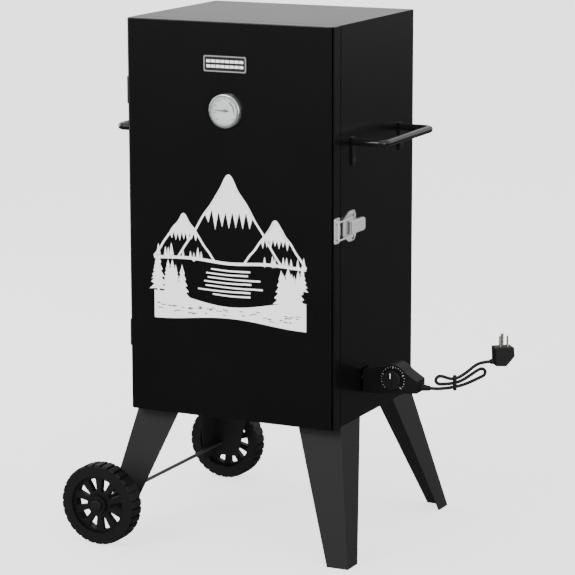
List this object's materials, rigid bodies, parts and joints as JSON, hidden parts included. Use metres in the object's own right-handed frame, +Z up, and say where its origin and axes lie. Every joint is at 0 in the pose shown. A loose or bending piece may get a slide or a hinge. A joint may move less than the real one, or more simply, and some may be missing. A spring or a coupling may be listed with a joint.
{
  "type": "electric cabinet smoker",
  "caption": "Upright sheet-metal smoking cabinet with a hinged front door, toggle latch, side handles, splayed legs, wheels and a plug-in heat controller.",
  "frame": {"origin": "on the floor, under the middle of the object's box measured without its free cord, cord tie and plug", "axes": "+Z up; the door faces -Y; the plug-in controller stands out of the +X wall and the wheels are at -X"},
  "size_m": [0.7012, 0.5068, 0.88],
  "materials": {
    "black_enamel": "semi-gloss black heat-resistant paint",
    "leg_paint": "satin dark grey textured paint",
    "galvanised": "galvanised sheet steel",
    "grate_chrome": "chrome-plated wire",
    "pan_enamel": "gloss porcelain enamel with fine pale specks",
    "element_steel": "drawn stainless tube",
    "zinc": "zinc-plated steel",
    "latch_chrome": "bright chrome plate",
    "prong_nickel": "nickel-plated brass",
    "gasket_cord": "woven glass-fibre gasket",
    "dial_white": "satin white printed dial",
    "needle_black": "satin black",
    "clear_glass": "clear flat glass",
    "plate_silver": "printed aluminium with a satin face",
    "handle_gloss": "gloss black powder coat",
    "wheel_plastic": "moulded black polypropylene",
    "controller_plastic": "moulded black heat-resistant plastic",
    "ceramic_white": "unglazed ceramic",
    "dial_grey": "satin black plastic",
    "cord_rubber": "soft black cable jacket"
  },
  "bodies": {
    "cabinet": {"side_panel_left": "black_enamel", "side_panel_right": "black_enamel", "back_panel": "black_enamel", "top_panel": "black_enamel", "bottom_panel": "black_enamel", "front_frame": "black_enamel", "rack_support_left": "galvanised", "rack_support_right": "galvanised", "cooking_grate_1": "grate_chrome", "cooking_grate_2": "grate_chrome", "cooking_grate_3": "grate_chrome", "water_pan": "pan_enamel", "chip_tray": "pan_enamel", "chip_tray_stand": "galvanised", "drip_tray": "pan_enamel", "heating_element": "element_steel", "element_flange": "galvanised", "hinge_leaves_cabinet": "black_enamel", "hinge_pins": "zinc", "latch_base": "latch_chrome", "latch_pivot_pin": "zinc", "cabinet_rivets": "zinc", "side_handle_left": "handle_gloss", "side_handle_right": "handle_gloss", "handle_bolts": "zinc", "leg_front_left": "leg_paint", "leg_front_right": "leg_paint", "leg_rear_left": "leg_paint", "leg_rear_right": "leg_paint", "leg_fasteners": "zinc", "axle": "zinc", "axle_caps": "zinc", "axle_spacers": "wheel_plastic"},
    "door": {"door_skin": "black_enamel", "door_liner": "galvanised", "door_gasket": "gasket_cord", "thermometer_case": "latch_chrome", "thermometer_dial": "dial_white", "thermometer_lens": "clear_glass", "thermometer_stem": "element_steel", "thermometer_nut": "zinc", "name_plate": "plate_silver", "hinge_leaves_door": "black_enamel", "latch_keeper": "latch_chrome", "door_rivets": "zinc"},
    "thermometer_needle": {"thermometer_needle": "needle_black"},
    "latch_lever": {"latch_lever": "latch_chrome"},
    "latch_bail": {"latch_bail": "latch_chrome"},
    "wheel_front": {"wheel_front": "wheel_plastic"},
    "wheel_rear": {"wheel_rear": "wheel_plastic"},
    "controller": {"controller_front_shell": "controller_plastic", "controller_rear_shell": "controller_plastic", "contact_block": "ceramic_white", "controller_probe": "element_steel", "strain_relief": "cord_rubber", "cord": "cord_rubber", "cord_tie": "cord_rubber", "plug_body": "controller_plastic", "plug_prongs": "prong_nickel"},
    "controller_dial": {"controller_dial": "dial_grey"}
  },
  "joints": [
    {"name": "door_hinge", "type": "hinge", "parent": "cabinet", "child": "door", "pos_m": [-0.206, -0.132, 0.55], "axis": [0, 0, -1], "range_deg": [0, 165]},
    {"name": "latch_lever_hinge", "type": "hinge", "parent": "cabinet", "child": "latch_lever", "pos_m": [0.181, -0.108, 0.55], "axis": [0, 0, -1], "range_deg": [0, 110]},
    {"name": "latch_bail_hinge", "type": "hinge", "parent": "latch_lever", "child": "latch_bail", "pos_m": [0.179, -0.098, 0.55], "axis": [0, 0, -1], "range_deg": [-140, 0]},
    {"name": "wheel_front_spin", "type": "hinge", "parent": "cabinet", "child": "wheel_front", "pos_m": [-0.221, -0.2325, 0.069], "axis": [0, 1, 0], "continuous": true},
    {"name": "wheel_rear_spin", "type": "hinge", "parent": "cabinet", "child": "wheel_rear", "pos_m": [-0.221, 0.2325, 0.069], "axis": [0, 1, 0], "continuous": true},
    {"name": "controller_dial_turn", "type": "hinge", "parent": "controller", "child": "controller_dial", "pos_m": [0.231, -0.048, 0.289], "axis": [0, -1, 0], "range_deg": [-270, 0]},
    {"name": "controller_unplug", "type": "slide", "parent": "cabinet", "child": "controller", "axis": [1, 0, 0], "range_m": [0, 0.12]},
    {"name": "thermometer_needle_turn", "type": "hinge", "parent": "door", "child": "thermometer_needle", "pos_m": [-0.018, -0.1655, 0.736], "axis": [0, -1, 0], "range_deg": [-225, 45]}
  ],
  "couplings": [
    {"joint": "latch_bail_hinge", "follows": "latch_lever_hinge", "ratio": -1.25}
  ]
}
